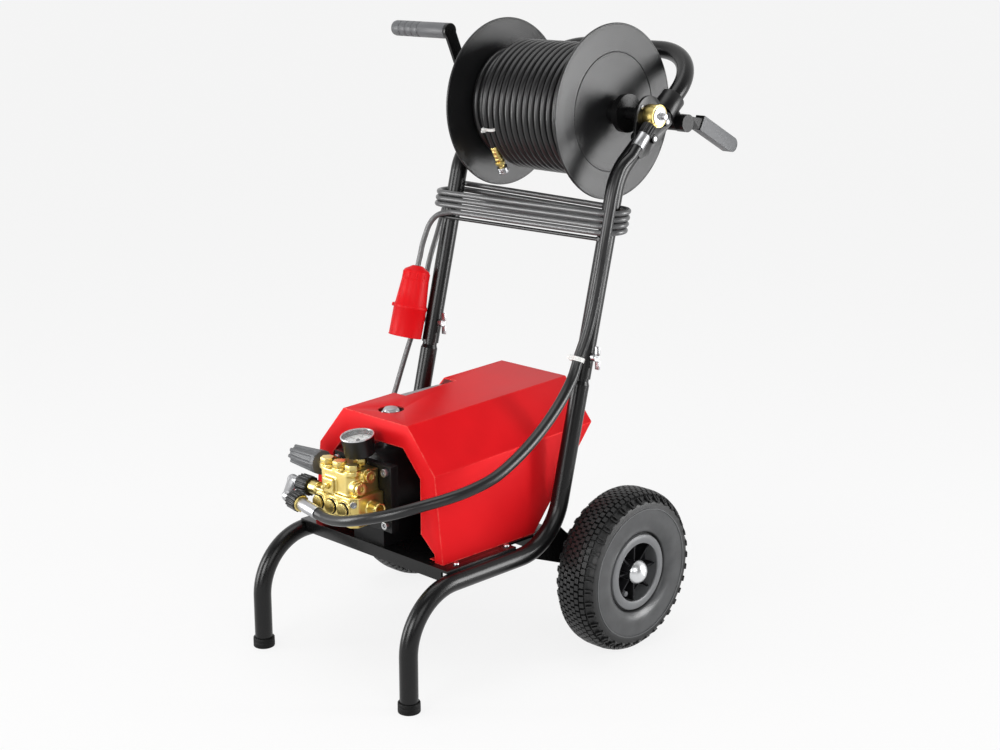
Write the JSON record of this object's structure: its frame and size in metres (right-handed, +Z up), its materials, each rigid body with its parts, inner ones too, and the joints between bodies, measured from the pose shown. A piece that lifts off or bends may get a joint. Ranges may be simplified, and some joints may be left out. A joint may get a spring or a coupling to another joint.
{
  "type": "drain jetter",
  "caption": "Two-wheeled drain jetter: bent-tube trolley with a hooded motor pump at the front, a crank hose reel on the handle and a mains lead wound round its uprights.",
  "frame": {"origin": "on the ground under the middle of the machine's outline, without its mains lead", "axes": "+Z up, -Y towards the pump and the feet at the front, +X towards the side of the supply hose and brake lever"},
  "size_m": [0.607, 0.7433, 0.966],
  "materials": {
    "frame_paint": "gloss black paint",
    "hood_paint": "gloss red powder coat",
    "flange_paint": "satin anthracite paint",
    "machine_paint": "satin black paint on castings",
    "brass": "machined and cast brass",
    "steel": "zinc-plated and turned steel",
    "chrome": "bright plated",
    "iron": "laminated iron with windings",
    "black_plastic": "black moulded plastic",
    "grey_plastic": "grey moulded plastic",
    "light_plastic": "light grey moulded plastic",
    "red_plastic": "red moulded plastic",
    "dial": "white printed dial",
    "lens": "clear window",
    "ceramic": "ceramic sleeve",
    "hose_rubber": "dark rubber",
    "black_rubber": "black rubber",
    "tyre": "dark tyre rubber"
  },
  "bodies": {
    "trolley": {"frame_tube_right": "frame_paint", "frame_tube_left": "frame_paint", "handle_tube": "frame_paint", "foot_caps": "black_rubber", "tray": "frame_paint", "fasteners": "steel", "axle_beam": "frame_paint", "axle": "steel", "axle_caps": "chrome", "cable_rest": "frame_paint", "bearing_plates": "frame_paint", "spindle_bushes": "brass", "swivel_body": "brass", "coupling_nuts": "black_plastic", "hose_fittings": "steel", "supply_hose": "hose_rubber", "hood": "hood_paint", "switch_box": "light_plastic", "cable_gland": "black_plastic", "oil_filler": "steel", "motor_housing": "machine_paint", "motor_shields": "machine_paint", "fan_cowl": "black_plastic", "stator": "iron", "motor_bearings": "steel", "pump_crankcase": "machine_paint", "pump_head": "brass", "valve_plugs": "brass", "unloader_body": "brass", "gauge_case": "black_plastic", "gauge_dial": "dial", "gauge_lens": "lens", "lever_clamp": "black_plastic", "cable_drop": "hose_rubber", "cable_hank": "hose_rubber", "cable_tail": "hose_rubber", "plug_body": "red_plastic", "plug_pins": "steel"},
    "wheel_right": {"tyre_right": "tyre", "rim_right": "grey_plastic"},
    "wheel_left": {"tyre_left": "tyre", "rim_left": "grey_plastic"},
    "reel": {"reel_flanges": "flange_paint", "reel_core": "flange_paint", "reel_spindle": "steel", "hose_winding": "hose_rubber", "hose_end": "brass", "crank_arm": "frame_paint"},
    "crank_handle": {"crank_grip": "grey_plastic"},
    "lever": {"brake_lever": "light_plastic"},
    "pressure_knob": {"unloader_knob": "grey_plastic"},
    "needle": {"gauge_needle": "black_plastic"},
    "switch": {"switch_knob": "black_plastic"},
    "rotor": {"rotor_shaft": "steel", "fan": "black_plastic", "swash_plate": "steel"},
    "plunger_1": {"plunger_top": "ceramic"},
    "plunger_2": {"plunger_left": "ceramic"},
    "plunger_3": {"plunger_right": "ceramic"}
  },
  "joints": [
    {"name": "wheel_right_spin", "type": "hinge", "parent": "trolley", "child": "wheel_right", "pos_m": [0.2605, 0.056, 0.13], "axis": [1, 0, 0], "continuous": true},
    {"name": "wheel_left_spin", "type": "hinge", "parent": "trolley", "child": "wheel_left", "pos_m": [-0.2075, 0.056, 0.13], "axis": [1, 0, 0], "continuous": true},
    {"name": "reel_spin", "type": "hinge", "parent": "trolley", "child": "reel", "pos_m": [0.0265, 0.151, 0.829], "axis": [1, 0, 0], "continuous": true},
    {"name": "crank_grip_spin", "type": "hinge", "parent": "reel", "child": "crank_handle", "pos_m": [-0.2395, 0.1009, 0.94246], "axis": [1, 0, 0], "continuous": true},
    {"name": "brake_lever_swing", "type": "hinge", "parent": "trolley", "child": "lever", "pos_m": [0.2115, 0.241, 0.81], "axis": [1, 0, 0], "range_deg": [-25, 20]},
    {"name": "pressure_knob_turn", "type": "hinge", "parent": "trolley", "child": "pressure_knob", "pos_m": [-0.0895, -0.294, 0.314], "axis": [1, 0, 0], "range_deg": [-180, 180]},
    {"name": "gauge_needle_swing", "type": "hinge", "parent": "trolley", "child": "needle", "pos_m": [0.0265, -0.284, 0.343], "axis": [0, -0.1564, 0.9877], "range_deg": [-270, 0], "stiffness_Nm_per_rad": 0.002},
    {"name": "switch_knob_turn", "type": "hinge", "parent": "trolley", "child": "switch", "pos_m": [-0.0835, -0.094, 0.36], "axis": [1, 0, 0], "range_deg": [0, 90]},
    {"name": "rotor_spin", "type": "hinge", "parent": "trolley", "child": "rotor", "pos_m": [0.0165, -0.064, 0.284], "axis": [0, 1, 0], "continuous": true},
    {"name": "plunger_1_slide", "type": "slide", "parent": "trolley", "child": "plunger_1", "axis": [0, 1, 0], "range_m": [-0.004, 0.004]},
    {"name": "plunger_2_slide", "type": "slide", "parent": "trolley", "child": "plunger_2", "axis": [0, 1, 0], "range_m": [-0.004, 0.004]},
    {"name": "plunger_3_slide", "type": "slide", "parent": "trolley", "child": "plunger_3", "axis": [0, 1, 0], "range_m": [-0.004, 0.004]}
  ]
}
